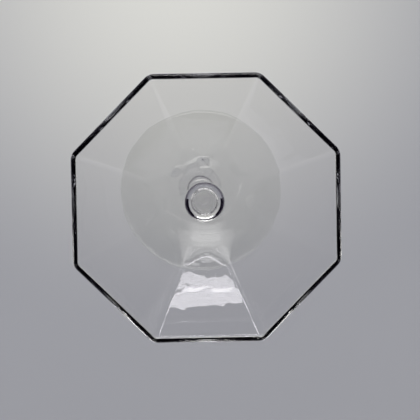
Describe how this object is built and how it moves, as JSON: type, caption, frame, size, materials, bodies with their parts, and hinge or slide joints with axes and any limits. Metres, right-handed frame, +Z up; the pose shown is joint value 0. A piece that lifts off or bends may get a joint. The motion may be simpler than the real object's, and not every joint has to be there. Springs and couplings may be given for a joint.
{
  "type": "octagonal stemmed glass",
  "caption": "Clear glass coupe with an octagonal bowl on a slim solid stem and a round foot, for desserts or drinks.",
  "frame": {"origin": "centre of the plane that the foot rests on", "axes": "+Z up along the stem through the mouth; flats of the octagon face +X and +Y"},
  "size_m": [0.098, 0.098, 0.126],
  "materials": {
    "bowl_glass": "clear, fire-polished",
    "stem_glass": "clear, fire-polished",
    "foot_glass": "clear, fire-polished"
  },
  "bodies": {
    "root": {"bowl": "bowl_glass", "stem": "stem_glass", "foot": "foot_glass"}
  },
  "joints": []
}
